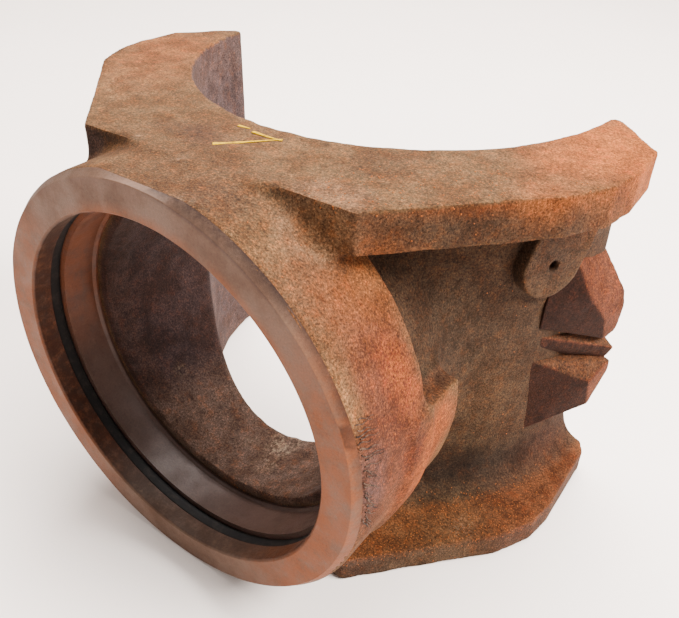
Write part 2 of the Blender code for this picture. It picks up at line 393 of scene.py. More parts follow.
# ---------------------------------------------------------------- material helpers
class Shader:
    """A short way to write a node tree."""

    def __init__(self, name):
        self.mat = bpy.data.materials.new(name)
        self.mat.use_nodes = True
        self.tree = self.mat.node_tree
        self.out = self.tree.nodes["Principled BSDF"]
        self.place = self.node("ShaderNodeTexCoord").outputs["Object"]

    def node(self, kind, **inputs):
        """A new node; an input's name has _ for a space."""
        made = self.tree.nodes.new(kind)
        for key, value in inputs.items():
            self.put(made.inputs[key.replace("_", " ")], value)
        return made

    def put(self, socket, value):
        """Link a socket, or fill it with a number or a colour."""
        if isinstance(value, bpy.types.NodeSocket):
            self.tree.links.new(value, socket)
        elif socket.type == "RGBA" and len(value) == 3:
            socket.default_value = (*value, 1)
        else:
            socket.default_value = value

    def noise(self, scale, detail, rough):
        """Noise between 0 and 1 over the object's own coordinates."""
        made = self.node("ShaderNodeTexNoise", Vector=self.place, Scale=scale, Detail=detail,
                         Roughness=rough)
        return made.outputs["Fac"]

    def ramp(self, fac, lo, hi, start=0.0, end=1.0):
        """Map lo..hi softly to start..end."""
        made = self.node("ShaderNodeMapRange")
        made.interpolation_type = "SMOOTHSTEP"
        self.put(made.inputs["Value"], fac)
        for key, value in (("From Min", lo), ("From Max", hi), ("To Min", start), ("To Max", end)):
            made.inputs[key].default_value = value
        return made.outputs["Result"]

    def math(self, kind, a, b=0.0):
        made = self.tree.nodes.new("ShaderNodeMath")
        made.operation = kind
        self.put(made.inputs[0], a)
        self.put(made.inputs[1], b)
        return made.outputs[0]

    def mix(self, fac, a, b, kind="MIX"):
        made = self.tree.nodes.new("ShaderNodeMix")
        made.data_type = "RGBA"
        made.blend_type = kind
        self.put(made.inputs["Factor"], fac)
        self.put(made.inputs[6], a)
        self.put(made.inputs[7], b)
        return made.outputs[2]

    def attribute(self, name, output="Fac"):
        made = self.tree.nodes.new("ShaderNodeAttribute")
        made.attribute_name = name
        return made.outputs[output]

    def scaled(self, colour, factors):
        """A colour times another."""
        return self.mix(1.0, colour, factors, "MULTIPLY")

    def tinge(self, colour, fac, lo, hi, amount, factors):
        """Multiply a colour by factors, up to the given amount as fac goes from lo to hi."""
        return self.mix(self.ramp(fac, lo, hi, 0.0, amount), colour, self.scaled(colour, factors))

    def bump(self, *layers):
        """Stack (height, distance, strength) layers of bump."""
        normal = None
        for height, distance, strength in layers:
            made = self.node("ShaderNodeBump", Strength=strength, Distance=distance, Height=height)
            if normal is not None:
                self.put(made.inputs["Normal"], normal)
            normal = made.outputs["Normal"]
        self.put(self.out.inputs["Normal"], normal)

    def finish(self, colour, roughness, specular):
        """Join the colour and the roughness to the shader, and hand over the material."""
        self.put(self.out.inputs["Base Color"], colour)
        self.put(self.out.inputs["Roughness"], roughness)
        self.out.inputs["Specular IOR Level"].default_value = specular
        return self.mat


def cast_skin_material(skin):
    """Sand-cast skin: the painted tone broken up by grain, rust bloom and dark pits."""
    s = Shader("weathered_cast_skin")
    tone = s.attribute("tone", "Color")
    rust = s.attribute("rust")
    worn = s.attribute("worn")
    grain = s.noise(1150, 3, 0.75)
    fleck = s.noise(640, 5, 0.8)
    mottle = s.noise(210, 6, 0.8)
    patch = s.noise(70, 7, 0.7)
    broad = s.noise(24, 4, 0.6)
    colour = s.tinge(tone, patch, 0.40, 0.62, 0.85, (0.56, 0.47, 0.40))
    # ruddy and sooty mottling, then the rust bloom
    colour = s.tinge(colour, mottle, 0.50, 0.66, 0.75, (1.75, 1.20, 0.85))
    colour = s.tinge(colour, mottle, 0.49, 0.34, 0.8, (0.50, 0.50, 0.52))
    bloom = s.math("MULTIPLY", s.ramp(fleck, 0.36, 0.72), rust)
    colour = s.mix(bloom, colour, tuple(skin.orange))
    # light and dark grains of the sand-cast skin, and broad stains
    colour = s.tinge(colour, grain, 0.50, 0.70, 1.0, (2.3, 2.1, 1.9))
    colour = s.tinge(colour, grain, 0.50, 0.32, 0.9, (0.28, 0.25, 0.23))
    colour = s.tinge(colour, broad, 0.56, 0.76, 0.5, (0.58, 0.52, 0.50))
    bright = s.math("MULTIPLY", worn, s.ramp(s.noise(420, 6, 0.85), 0.47, 0.66))
    colour = s.mix(bright, colour, tuple(skin.steel))
    s.bump((s.noise(150, 5, 0.6), 0.0006, 0.35), (fleck, 0.0006, 0.5), (grain, 0.0004, 0.7))
    return s.finish(colour, s.ramp(bright, 0.0, 1.0, 0.86, 0.5), 0.10)


def turned_material(name, base, rustier, ring_scale, gloss):
    """Turned metal with stains and rust; 'shade' darkens by place and 'rust' reddens."""
    s = Shader(name)
    shade = s.attribute("shade")
    rust = s.attribute("rust")
    stain = s.noise(46, 6, 0.65)
    cloud = s.noise(120, 6, 0.7)
    fine = s.noise(1000, 4, 0.75)
    colour = s.tinge(base, stain, 0.38, 0.66, 0.75, (0.60, 0.54, 0.50))
    spread = s.math("MULTIPLY", s.ramp(cloud, 0.28, 0.62, 0.25, 1.0), rust)
    colour = s.mix(spread, colour, rustier)
    colour = s.tinge(colour, fine, 0.50, 0.74, 0.6, (1.5, 1.42, 1.35))
    colour = s.tinge(colour, fine, 0.48, 0.28, 0.6, (0.55, 0.5, 0.48))
    patchy = s.math("MULTIPLY", shade, s.ramp(s.noise(210, 6, 0.8), 0.30, 0.56, 0.55, 1.0))
    colour = s.mix(patchy, colour, s.scaled(colour, (0.20, 0.18, 0.18)))
    s.bump((s.noise(110, 4, 0.6), 0.0005, 0.3), (fine, 0.0003, ring_scale))
    return s.finish(colour, s.ramp(stain, 0.3, 0.7, gloss, gloss + 0.2), 0.16)


def rubber_material():
    """Black rubber under a film of brown dust."""
    s = Shader("aged_black_rubber")
    dust = s.noise(240, 5, 0.7)
    colour = s.mix(s.ramp(dust, 0.45, 0.75, 0.0, 0.55), (0.008, 0.007, 0.007), (0.030, 0.022, 0.018))
    s.bump((dust, 0.0004, 0.4))
    return s.finish(colour, 0.62, 0.12)


def paint_material():
    """Dry yellow marker, broken where it skipped over the grain."""
    s = Shader("yellow_marker")
    skip = s.noise(700, 4, 0.75)
    colour = s.mix(s.ramp(skip, 0.36, 0.52, 0.85, 0.0), (0.43, 0.245, 0.0004), (0.20, 0.105, 0.002))
    s.bump((skip, 0.0004, 0.6))
    return s.finish(colour, 0.8, 0.05)


def saw_material():
    """Dark metal torn up along the saw marks."""
    s = Shader("saw_mark_edges")
    worn = s.noise(500, 4, 0.75)
    colour = s.mix(s.ramp(worn, 0.4, 0.62), (0.010, 0.006, 0.005), (0.085, 0.045, 0.028))
    s.bump((worn, 0.0003, 0.5))
    return s.finish(colour, 0.7, 0.1)


def scab_material(skin):
    """Loose orange rust."""
    s = Shader("rust_scabs")
    tint = s.noise(300, 3, 0.7)
    colour = s.mix(s.ramp(tint, 0.4, 0.62), (0.16, 0.050, 0.015), tuple(skin.orange))
    s.bump((s.noise(1200, 3, 0.7), 0.0003, 0.7))
    return s.finish(colour, 0.8, 0.1)


# ---------------------------------------------------------------- the casting
def casting_field(sizes):
    """The casting's one field: flanges, wall, neck, collar and cheeks, bored and cleared."""
    corners = [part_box(n) for n in frame["nodes"]]
    lo = [min(c[0][i] for c in corners) for i in range(3)]
    hi = [max(c[1][i] for c in corners) for i in range(3)]
    f = Field(lo, hi, sizes.cell)
    x, z = f.x, f.z
    y = f.y - RUN_Y
    run = np.hypot(x, y)
    up = z - MID_Z
    branch = np.hypot(x, up)
    k, edge = sizes.fillet, sizes.edge
    wall_inset, trim = 0.004, 0.0006
    lower_flare, collar_fillet, cheek_fillet = 0.020, 0.007, 0.009

    def outline(side):
        back = ((-0.09, 0.02), (0.09, 0.02))
        return [*side, FRONT_RIGHT, FRONT_LEFT, *[(-a, b) for a, b in reversed(side)], *back]

    wall = blend_max(run - SHELL_R, slab(z, wall_inset, TOP_Z - wall_inset), edge)
    f.value = np.broadcast_to(wall, f.shape).copy()
    f.add(blend_max(polygon(x, y, outline(UPPER_SIDE)), slab(z, UPPER_Z, TOP_Z), edge), k * 0.6)
    f.add(blend_max(polygon(x, y, outline(LOWER_SIDE)), slab(z, 0.0, LOWER_Z), edge), lower_flare)
    # the neck and the collar
    f.add(np.maximum(branch - NECK_R, slab(f.y, FACE_Y + 0.01, 0.03)), k)
    collar = blend_max(branch - COLLAR_R, slab(f.y, FACE_Y - 0.01, COLLAR_BACK_Y), edge)
    f.add(blend_max(collar, slab(z, trim, TOP_Z - trim), edge), collar_fillet)
    # cheeks: the collar's skin carried on towards the wall
    cheek_inner_x = 0.070
    for side, sign in (("right", 1), ("left", -1)):
        a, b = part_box(side + "_cheek")
        sector = np.maximum(slab(f.y, COLLAR_BACK_Y - 0.01, b.y), slab(z, a.z, b.z))
        sector = blend_max(branch - COLLAR_R, np.maximum(sector, cheek_inner_x - abs(x)), edge)
        f.add(np.maximum(sector, -sign * x), cheek_fillet)
    # outside limits: the flange planes and the parting plane
    f.keep(slab(z, 0.0, TOP_Z), edge)
    f.keep(f.y - PARTING_Y, edge)
    waves = noise_field(f.shape, f.origin, f.cell, 0.011, 11)
    waves += 0.6 * noise_field(f.shape, f.origin, f.cell, 0.0052, 12)
    f.value += sizes.waviness * waves
    # the run bore, the cored bore with its moulding seam, and the room for the turned rings
    f.keep(RUN_BORE_R - run + 0.00015 * waves, 0.0018)
    taper = CORE_R - CORE_TAPER * smooth_step(COLLAR_BACK_Y, 0.02, f.y)
    seam_angle, seam_height, seam_width = 0.18, 0.0008, 0.0012
    seam = np.exp(-((np.arctan2(x, -up) - seam_angle) * CORE_R / seam_width) ** 2) * seam_height
    cored = branch - taper + 0.0006 * waves + seam
    f.keep(-np.maximum(cored, f.y - 0.06), 0.004)
    room = np.maximum(branch - RING_ROOM_R, slab(f.y, FACE_Y - 0.02, SEAT_BACK_Y + 0.0002))
    f.keep(-room, 0.0006)
    # the face is cut back behind the turned ring, with its 45 degree bevel
    diagonal = 0.7071
    bevel = (branch - COLLAR_R + 0.0008) - (f.y - FACE_Y - 0.0032)
    f.keep(bevel * diagonal, 0.001)
    f.keep(FACE_Y + 0.0012 - f.y, 0.0008)
    return f


NOSE_CORNERS = {
    # corners in the run pipe's frame, on the +X side, grouped into convex lumps
    "upper_nose": (
        ((0.1210, -0.0055, 0.1370), (0.1360, -0.0055, 0.1170), (0.1372, -0.0055, 0.1080),
         (0.1362, -0.0055, 0.0940), (0.1315, -0.0055, 0.0865), (0.1130, -0.0400, 0.1460),
         (0.1200, -0.0350, 0.1390), (0.1270, -0.0340, 0.1245), (0.1335, -0.0215, 0.1085),
         (0.1340, -0.0150, 0.0930), (0.1125, -0.0505, 0.1230), (0.1120, -0.0505, 0.1090),
         (0.1050, -0.0055, 0.1400), (0.1050, -0.0055, 0.0890), (0.1050, -0.0450, 0.1250),
         (0.1050, -0.0450, 0.1050)),
    ),
    "lower_nose": (
        ((0.1380, -0.0055, 0.0750), (0.1380, -0.0055, 0.0700), (0.1320, -0.0055, 0.0440),
         (0.1345, -0.0240, 0.0700), (0.1350, -0.0190, 0.0530), (0.1110, -0.0500, 0.0890),
         (0.1090, -0.0500, 0.0400), (0.1050, -0.0055, 0.0830), (0.1050, -0.0055, 0.0340),
         (0.1050, -0.0450, 0.0890), (0.1050, -0.0450, 0.0400)),
        ((0.1320, -0.0055, 0.0848), (0.1285, -0.0055, 0.0905), (0.1378, -0.0055, 0.0832),
         (0.1350, -0.0055, 0.0760), (0.1120, -0.0480, 0.1030), (0.1120, -0.0480, 0.0965),
         (0.1050, -0.0055, 0.0800), (0.1050, -0.0450, 0.1000), (0.1050, -0.0400, 0.0850)),
    ),
}


def nose_field(node, cell, edge):
    """A faceted nose made of convex lumps, its foot sunk in the wall."""
    side, part = node.split("_", 1)
    sign = 1 if side == "right" else -1
    lumps = [[(sign * x, y + RUN_Y, z) for x, y, z in lump] for lump in NOSE_CORNERS[part]]
    points = [corner for lump in lumps for corner in lump]
    lo = [min(c[i] for c in points) for i in range(3)]
    hi = [max(c[i] for c in points) for i in range(3)]
    f = Field(lo, hi, cell)
    for lump in lumps:
        f.value = np.minimum(f.value, hull_field(f, lump, edge * 0.7))
    f.value = f.value + 0.00020 * noise_field(f.shape, f.origin, cell, 0.0058, 21)
    f.value += 0.00008 * noise_field(f.shape, f.origin, cell, 0.0023, 22)
    # the nose must not reach into the run bore
    f.keep(RUN_BORE_R + 0.003 - np.hypot(f.x, f.y - RUN_Y), 0.0008)
    return f


def boss_field(node, cell, edge):
    """The boss with its small blind hole, its foot sunk in the wall."""
    lo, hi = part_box(node)
    f = Field([v - 0.007 for v in lo], [hi.x + 0.007, hi.y + 0.007, hi.z + 0.013], cell)
    ax = math.cos(BOSS_ANGLE) * (1 if lo.x > 0 else -1)
    ay = math.sin(BOSS_ANGLE)
    y = f.y - RUN_Y
    along = f.x * ax + y * ay
    sideways = abs(f.x) * -ay + y * abs(ax)
    across = np.hypot(sideways, f.z - BOSS_Z)
    # the pad runs on from the round boss, up and towards the parting plane, into the flange
    lean_u, lean_v = 0.35 * BOSS_R, 0.85 * BOSS_R
    t = np.clip((sideways * lean_u + (f.z - BOSS_Z) * lean_v) / (lean_u ** 2 + lean_v ** 2), 0, 1)
    pad = np.hypot(sideways - t * lean_u, f.z - BOSS_Z - t * lean_v)
    waves = noise_field(f.shape, f.origin, cell, 0.0048, 23)
    f.value = blend_max(pad - BOSS_R, slab(along, SHELL_R - 0.003, BOSS_FACE), edge * 1.6)
    f.value = f.value + 0.00020 * waves
    hole = np.maximum(across - BOSS_HOLE_R, BOSS_FACE - 0.005 - along)
    f.keep(-hole, 0.0008)
    return f


# broad tones over the skin: x, y, z in the run pipe's frame, reach, colour name, strength
TONES = (
    (0.128, -0.028, 0.199, 0.046, "orange", 0.75),
    (0.120, -0.062, 0.199, 0.034, "orange", 0.50),
    (0.138, -0.040, 0.188, 0.030, "orange", 0.40),
    (0.120, -0.098, 0.199, 0.018, "orange", 0.35),
    (0.078, -0.153, 0.166, 0.030, "orange", 0.40),
    (0.085, -0.160, 0.150, 0.030, "pink", 0.75),
    (0.094, -0.160, 0.135, 0.034, "pink", 0.80),
    (0.101, -0.165, 0.112, 0.034, "pink", 0.75),
    (0.100, -0.165, 0.085, 0.034, "pink", 0.65),
    (0.070, -0.172, 0.172, 0.028, "pink", 0.40),
    (0.094, -0.149, 0.139, 0.014, "red", 0.85),
    (0.098, -0.146, 0.127, 0.014, "red", 0.70),
    (0.089, -0.151, 0.148, 0.012, "red", 0.50),
    (0.102, -0.128, 0.097, 0.019, "ember", 0.95),
    (0.101, -0.136, 0.080, 0.022, "ember", 0.85),
    (0.098, -0.145, 0.065, 0.022, "ember", 0.55),
    (0.099, -0.150, 0.100, 0.012, "pink", 0.60),
    (0.092, -0.160, 0.052, 0.024, "clay", 0.60),
    (0.088, -0.183, 0.150, 0.013, "sand", 0.95),
    (0.093, -0.182, 0.139, 0.011, "sand", 0.90),
    (0.101, -0.178, 0.112, 0.015, "grey", 0.45),
    (0.102, -0.178, 0.096, 0.014, "grey", 0.40),
    (0.056, -0.150, 0.190, 0.018, "sand", 0.45),
    (0.038, -0.166, 0.194, 0.030, "sand", 0.25),
    (0.046, -0.154, 0.198, 0.014, "dark", 0.25),
    (-0.020, -0.132, 0.199, 0.015, "dark", 0.85),
    (-0.010, -0.137, 0.199, 0.013, "dark", 0.80),
    (-0.034, -0.137, 0.199, 0.010, "dark", 0.40),
    (0.060, -0.112, 0.199, 0.022, "dark", 0.30),
    (0.000, -0.120, 0.199, 0.030, "sand", 0.25),
    (0.027, -0.172, 0.199, 0.014, "dark", 0.50),
    (-0.100, -0.090, 0.199, 0.040, "orange", 0.22),
    (-0.118, -0.050, 0.199, 0.036, "orange", 0.30),
    (-0.095, -0.120, 0.199, 0.030, "sand", 0.35),
    (-0.045, -0.157, 0.192, 0.018, "dark", 0.25),
    (-0.058, -0.158, 0.190, 0.010, "grey", 0.50),
    (0.130, -0.080, 0.012, 0.030, "pink", 0.25),
    (0.110, -0.115, 0.006, 0.040, "olive", 0.55),
    (0.135, -0.030, 0.012, 0.040, "pink", 0.30),
    (0.097, -0.075, 0.073, 0.035, "olive", 0.25),
    (0.061, -0.151, 0.189, 0.019, "ash", 0.90),
    (0.061, -0.151, 0.189, 0.019, "sand", 0.75),
    # painted shade round the right boss
    (0.115, -0.058, 0.157, 0.026, "dark", 0.60),
    (0.000, -0.168, 0.199, 0.040, "brown", 0.50),
    (0.030, -0.168, 0.196, 0.026, "brown", 0.35),
)


# places where the skin is worn bright: x, y, z in the run pipe's frame, reach, strength
WORN_SPOTS = (
    (0.020, -0.180, 0.1990, 0.007, 0.22), (0.0095, -0.120, 0.0235, 0.013, 0.75),
    (0.0105, -0.133, 0.0240, 0.009, 0.55), (0.0135, -0.109, 0.0240, 0.011, 0.70),
    (-0.057, -0.126, 0.0490, 0.005, 0.25), (-0.006, -0.125, 0.0235, 0.006, 0.4),
    (0.053, -0.151, 0.1960, 0.004, 0.25), (-0.0325, -0.153, 0.1985, 0.003, 0.35),
    (-0.005, -0.158, 0.1990, 0.005, 0.20), (0.018, -0.186, 0.1990, 0.004, 0.8),
    (0.110, -0.100, 0.0150, 0.010, 0.2),
)


def paint_casting(obj, skin, nose=False):
    """Give every point of the casting its broad tone with painted shade, its rust and its wear."""
    n = len(obj.data.vertices)
    co = per_vertex(obj, "co").astype(float)
    normal = per_vertex(obj, "normal")
    x, y, z = co[:, 0], co[:, 1] - RUN_Y, co[:, 2]
    run = np.hypot(x, y)
    branch = np.hypot(x, z - MID_Z)
    named = {
        "olive": np.array(skin.olive), "orange": np.array(skin.orange) * 0.85,
        "pink": np.array(skin.pink), "dark": np.array(skin.dark),
        "red": np.array((0.088, 0.0165, 0.0065)), "sand": np.array((0.125, 0.068, 0.031)),
        "grey": np.array((0.054, 0.036, 0.037)), "plum": np.array((0.022, 0.0125, 0.0125)),
        "nose_shade": np.array((0.0115, 0.0046, 0.0030)),
        "brown": np.array((0.034, 0.0200, 0.0115)), "ash": np.array((0.075, 0.046, 0.034)),
        "ember": np.array((0.125, 0.030, 0.0095)), "clay": np.array((0.060, 0.030, 0.017)),
    }
    colour = np.tile(named["olive"] * 1.1, (n, 1))
    rust = np.full(n, 0.20)
    rng = np.random.default_rng(5)

    def lay(mask, name, strength):
        mask = np.clip(mask * strength, 0, 1)[:, None]
        np.copyto(colour, colour * (1 - mask) + named[name] * mask)

    wobble = np.zeros(n)
    for _ in range(14):
        d = rng.normal(size=3)
        d *= rng.uniform(60, 260) / np.linalg.norm(d)
        wobble += np.sin(co @ d + rng.uniform(0, 6.28)) / 14
    # painted shade on the wall between the flanges and on the neck behind the collar, with less rust there
    back = COLLAR_BACK_Y - RUN_Y
    recess = smooth_step(0.1008, 0.0975, branch) * smooth_step(back - 0.001, back + 0.004, y)
    recess = np.maximum(recess, smooth_step(0.136, 0.124, run) * (y > back + 0.02))
    recess *= smooth_step(0.183, 0.176, z) * smooth_step(0.012, 0.030, z)
    lay(recess, "dark", 0.72)
    rust *= 1 - 0.7 * recess
    # painted shade on the faces turned down under the upper flange
    under = smooth_step(-0.3, -0.8, normal[:, 2]) * (z > 0.15)
    lay(under, "dark", 0.7)
    # painted shade low on the casting, from the lower flange up its flare, with less rust there
    flare = smooth_step(0.045, 0.025, z) * smooth_step(0.006, 0.02, z) * (run > 0.118)
    lay(flare, "dark", 0.75)
    lay(smooth_step(0.024, 0.010, z) * smooth_step(0.128, 0.137, run), "brown", 0.90)
    lay(smooth_step(0.0175, 0.0150, z) * smooth_step(0.130, 0.136, run) * (z > 0.0125), "orange", 0.30)
    rust *= 1 - 0.7 * smooth_step(0.050, 0.030, z) * (run > 0.118)
    # side faces of the upper flange: painted shade in brown, with less rust; the lower flange's side faces
    # greyer, and orange along the upper rim's top edge on the right
    rim = smooth_step(0.5, 0.2, abs(normal[:, 2])) * (z > 0.18) * (run > 0.118) * (branch > 0.1)
    lay(rim, "brown", 0.90)
    rust *= 1 - 0.6 * rim
    foot = smooth_step(0.5, 0.2, abs(normal[:, 2])) * (z < 0.0135) * (run > 0.118) * (branch > 0.1)
    lay(foot, "ash", 0.45)
    lay(rim * smooth_step(0.190, 0.199, z) * smooth_step(0.07, 0.11, x), "orange", 0.40)
    for tx, ty, tz, reach, name, strength in TONES:
        far = np.sqrt((x - tx) ** 2 + (y - ty) ** 2 + (z - tz) ** 2) / reach
        mask = smooth_step(1.15, 0.25, far + 0.35 * wobble)
        lay(mask, name, strength)
        if name in ("orange", "red", "ember"):
            rust[:] = np.maximum(rust, mask * strength * 0.9)
    # inside: the run bore and the cored bore
    bore = smooth_step(0.1125, 0.1105, run) * (abs(normal[:, 2]) < 0.6)
    lay(bore, "grey", 0.85)
    cored = smooth_step(0.0835, 0.079, branch) * (y < 0.0)
    lay(cored, "plum", 0.92)
    rust *= 1 - 0.85 * np.clip(bore + cored, 0, 1)
    if nose:
        # painted shade on the noses: a dark brown on the faces turned to the front, brown on the upward
        # faces low down, and less rust where the front is shaded
        front = smooth_step(-0.30, -0.55, normal[:, 1])
        colour[:] = named["pink"] * 0.85
        lay(front, "nose_shade", 0.97)
        lay(smooth_step(0.12, 0.40, normal[:, 2]) * (z < 0.112) * (abs(normal[:, 0]) < 0.8), "brown", 0.85)
        lay(smooth_step(0.7, 0.9, normal[:, 1]), "clay", 0.75)
        rust[:] = 0.26 - 0.20 * front
    # clay on the cheeks' ledges, and a paler pool low in the cored bore
    shelf = smooth_step(0.6, 0.85, normal[:, 2]) * (abs(x) > 0.07) * (z > 0.09) * (z < 0.115)
    lay(shelf * (branch < 0.1012) * (run > 0.124), "clay", 0.85)
    pool = cored * smooth_step(0.055, 0.030, z)
    lay(pool, "ash", 0.85)
    # worn bright spots
    worn = np.zeros(n)
    for wx, wy, wz, reach, strength in WORN_SPOTS:
        far = np.sqrt((x - wx) ** 2 + (y - wy) ** 2 + (z - wz) ** 2) / reach
        worn = np.maximum(worn, smooth_step(1.1, 0.2, far + 0.5 * wobble) * strength)
    store(obj, "tone", np.clip(colour * (1 + 0.10 * wobble[:, None]), 0, 1))
    store(obj, "rust", np.clip(rust + 0.1 * wobble, 0, 1))
    store(obj, "worn", worn)


class BuildCasting(bpy.types.Operator):
    """Net the casting, paint its tones and stand it in for the frame's cast nodes"""
    bl_idname = "coupling.build_casting"
    bl_label = "Build casting"

    def execute(self, context):
        f = casting_field(context.scene.coupling_casting)
        verts, quads = surface_net(f.value, f.origin, f.cell)
        obj = mesh_object("cast_body", verts, quads)
        obj.data.set_sharp_from_angle(angle=math.radians(CREASE))
        paint_casting(obj, context.scene.coupling_skin)
        obj.data.materials.append(cast_skin_material(context.scene.coupling_skin))
        own = ("seal_ring", "seat_ring", "branch_collar")
        nodes = [n for n in frame["nodes"] if n not in own and not n.endswith(("nose", "boss"))]
        settle(obj, "cast_skin", *sorted(nodes))
        return {"FINISHED"}


class BuildNoses(bpy.types.Operator):
    """Net the latch noses and the bosses on a finer grid"""
    bl_idname = "coupling.build_noses"
    bl_label = "Build noses and bosses"

    def execute(self, context):
        sizes = context.scene.coupling_casting
        skin = context.scene.coupling_skin
        mat = bpy.data.materials["weathered_cast_skin"]
        for side in ("right", "left"):
            for part in ("upper_nose", "lower_nose", "boss"):
                node = side + "_" + part
                make = boss_field if part == "boss" else nose_field
                f = make(node, sizes.fine_cell, sizes.edge)
                obj = mesh_object("cast_" + node, *surface_net(f.value, f.origin, f.cell))
                obj.data.set_sharp_from_angle(angle=math.radians(CREASE))
                paint_casting(obj, skin, part != "boss")
                obj.data.materials.append(mat)
                settle(obj, "cast_skin" if part == "boss" else "rusty_skin", node)
        return {"FINISHED"}


# ---------------------------------------------------------------- node trees
def begin_tree(name, **inputs):
    """A Geometry Nodes tree with a mesh in, a mesh out and named inputs with their defaults."""
    tree = bpy.data.node_groups.new(name, "GeometryNodeTree")
    for way in ("INPUT", "OUTPUT"):
        tree.interface.new_socket(name="Geometry", in_out=way, socket_type="NodeSocketGeometry")
    for key, default in inputs.items():
        kind = "NodeSocketInt" if isinstance(default, int) else "NodeSocketFloat"
        made = tree.interface.new_socket(name=key, in_out="INPUT", socket_type=kind)
        made.default_value = default
    return tree, tree.nodes.new("NodeGroupInput").outputs


def add_node(tree, kind, inputs, **settings):
    """A node with its settings made and its inputs linked or filled; hands over its outputs."""
    made = tree.nodes.new(kind)
    for key, value in settings.items():
        setattr(made, key, value)
    for socket, value in inputs.items():
        if isinstance(value, bpy.types.NodeSocket):
            tree.links.new(value, made.inputs[socket])
        else:
            made.inputs[socket].default_value = value
    return made.outputs


def end_tree(tree, geometry, mat):
    """Make the instances real, set the material and join the tree's output."""
    real = add_node(tree, "GeometryNodeRealizeInstances", {0: geometry})
    painted = add_node(tree, "GeometryNodeSetMaterial", {0: real[0], "Material": mat})
    add_node(tree, "NodeGroupOutput", {0: painted[0]})
    return tree


def path_object(name, paths, closed=False):
    """An object whose edges follow each list of points."""
    points, edges = [], []
    for path in paths:
        start = len(points)
        points += path
        edges += [(i, i + 1) for i in range(start, len(points) - 1)]
        if closed:
            edges.append((len(points) - 1, start))
    mesh = bpy.data.meshes.new(name)
    mesh.from_pydata(points, edges, [])
    return new_object(name, mesh)


def ring_tree(mat):
    """Geometry Nodes: the mesh's closed outline swept round a circle."""
    tree, source = begin_tree("turned_ring", Radius=0.09, Facets=256)
    circle = add_node(tree, "GeometryNodeCurvePrimitiveCircle",
                      {"Radius": source["Radius"], "Resolution": source["Facets"]})
    outline = add_node(tree, "GeometryNodeMeshToCurve", {0: source["Geometry"]})
    swept = add_node(tree, "GeometryNodeCurveToMesh",
                     {"Curve": circle["Curve"], "Profile Curve": outline[0]})
    return end_tree(tree, swept[0], mat)


def apply_tree(obj, tree, **values):
    """Run a tree on an object once and keep its result as a plain mesh."""
    step = obj.modifiers.new("shape", "NODES")
    step.node_group = tree
    for item in tree.interface.items_tree:
        if item.item_type == "SOCKET" and item.in_out == "INPUT" and item.name in values:
            step[item.identifier] = values[item.name]
    bpy.context.view_layer.update()
    graph = bpy.context.evaluated_depsgraph_get()
    made = bpy.data.meshes.new_from_object(obj.evaluated_get(graph))
    obj.modifiers.remove(step)
    old = obj.data
    obj.data = made
    bpy.data.meshes.remove(old)
    made.name = obj.name
    return obj


def turned_ring(name, profile, mat, facets, wobble=0.0):
    """A ring of the given (radius, station) profile round the branch axis, with crisp corners."""
    base = profile[0][0]
    obj = path_object(name, [[(r - base, t, 0.0) for r, t in profile]], closed=True)
    data = apply_tree(obj, ring_tree(mat), Radius=base, Facets=facets).data
    co = per_vertex(obj, "co").astype(float)
    # the sweep stands on the XY circle, with its stations counted down Z
    radius = np.hypot(co[:, 0], co[:, 1])
    angle = np.arctan2(co[:, 1], co[:, 0])
    rng = np.random.default_rng(3)
    wave = sum(np.sin(angle * m + rng.uniform(0, 6.28)) / m ** 0.5 for m in (3, 5, 8, 13, 21, 34))
    radius = radius + wobble * wave * (radius > base - 0.006) * 0.3
    out = np.stack([radius * np.cos(angle), -co[:, 2], MID_Z + radius * np.sin(angle)], 1)
    # a collar wider than the casting is tall is ground flat with it, top and bottom
    ground = 0.0002
    out[:, 2] = np.clip(out[:, 2], ground, TOP_Z - ground)
    data.vertices.foreach_set("co", out.astype(np.float32).ravel())
    bm = bmesh.new()
    bm.from_mesh(data)
    bmesh.ops.remove_doubles(bm, verts=bm.verts, dist=1e-6)
    bmesh.ops.recalc_face_normals(bm, faces=bm.faces)
    bm.to_mesh(data)
    bm.free()
    data.shade_smooth()
    data.set_sharp_from_angle(angle=math.radians(RING_CREASE))
    return obj


def polar(obj):
    """Each vertex's angle in degrees and its radius, about the branch axis."""
    co = per_vertex(obj, "co").astype(float)
    up = co[:, 2] - MID_Z
    return np.degrees(np.arctan2(up, co[:, 0])) % 360, np.hypot(co[:, 0], up)


def shade_ring(obj, shade, rust):
    """Store how dark and how rusty a ring is at each vertex."""
    store(obj, "shade", np.clip(shade, 0, 1))
    store(obj, "rust", np.clip(rust, 0, 1))


def arc(angle, centre, reach):
    """1 at the centre angle, falling to 0 at reach degrees away."""
    gap = abs((angle - centre + 180) % 360 - 180)
    return smooth_step(reach, reach * 0.35, gap)


def face_profile(ring):
    """The section of the collar's face, its mouth, the socket wall and the groove."""
    edge, steps = ring.face_outer - 0.0004, 8
    width = ring.mouth - ring.face_outer + 0.0004
    across = [(edge + width * i / steps, FACE_Y) for i in range(steps)]
    return [
        (COLLAR_R - 0.0004, FACE_Y + FACE_BAND + 0.0006), (ring.face_outer, FACE_Y + 0.0003),
        *across, (ring.mouth, FACE_Y), (ring.socket, FACE_Y + 0.0010),
        (ring.socket, GROOVE_FRONT_Y - 0.0003), (GROOVE_R, GROOVE_FRONT_Y - 0.0003),
        (GROOVE_R, SEAT_BACK_Y + 0.0030), (RING_BACK_R, SEAT_BACK_Y + 0.0030),
        (RING_BACK_R, FACE_Y + FACE_BAND + 0.0006)]


def seal_profile(ring):
    """The seal's section, a millimetre back from the socket wall."""
    outer, inner = 0.0901, ring.socket + 0.0010
    return [(outer, GROOVE_FRONT_Y), (inner + 0.0006, GROOVE_FRONT_Y),
            (inner, GROOVE_FRONT_Y + 0.0006), (inner - 0.0002, GROOVE_FRONT_Y + 0.0030),
            (inner, GROOVE_BACK_Y - 0.0006), (inner + 0.0006, GROOVE_BACK_Y),
            (outer, GROOVE_BACK_Y)]


